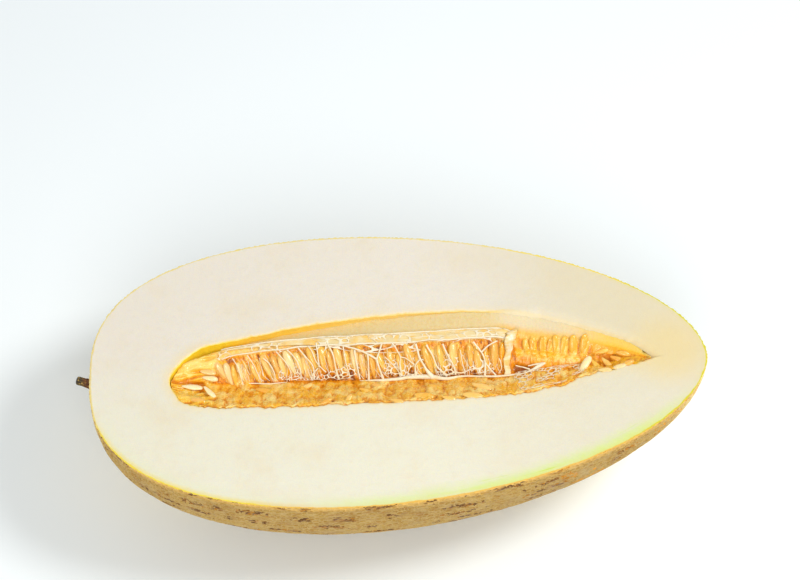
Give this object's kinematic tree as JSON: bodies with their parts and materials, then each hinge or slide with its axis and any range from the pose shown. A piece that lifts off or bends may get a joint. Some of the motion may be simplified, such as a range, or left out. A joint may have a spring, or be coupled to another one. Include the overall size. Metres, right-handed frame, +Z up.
{
  "type": "melon half",
  "caption": "Half of a long, pointed netted melon, cut lengthwise, resting on its rind with the seed cavity, seeds, pulp and pale fibres in place and a short dry stem stub.",
  "frame": {"origin": "on the surface the half rests on, under the middle of its box", "axes": "+X along the fruit from the stem end to the blossom end, +Z up out of the level cut face, +Y to the side of the cut face that the seed block leans to"},
  "size_m": [0.3272, 0.1708, 0.0848],
  "materials": {
    "rind": "satin",
    "flesh": "satin",
    "seed_pulp": "satin",
    "seeds": "satin",
    "fibre": "satin",
    "stem": "matte"
  },
  "bodies": {
    "root": {"melon_half": "rind", "seed_pulp": "seed_pulp", "fibre_web": "fibre", "stem": "stem"}
  },
  "joints": []
}
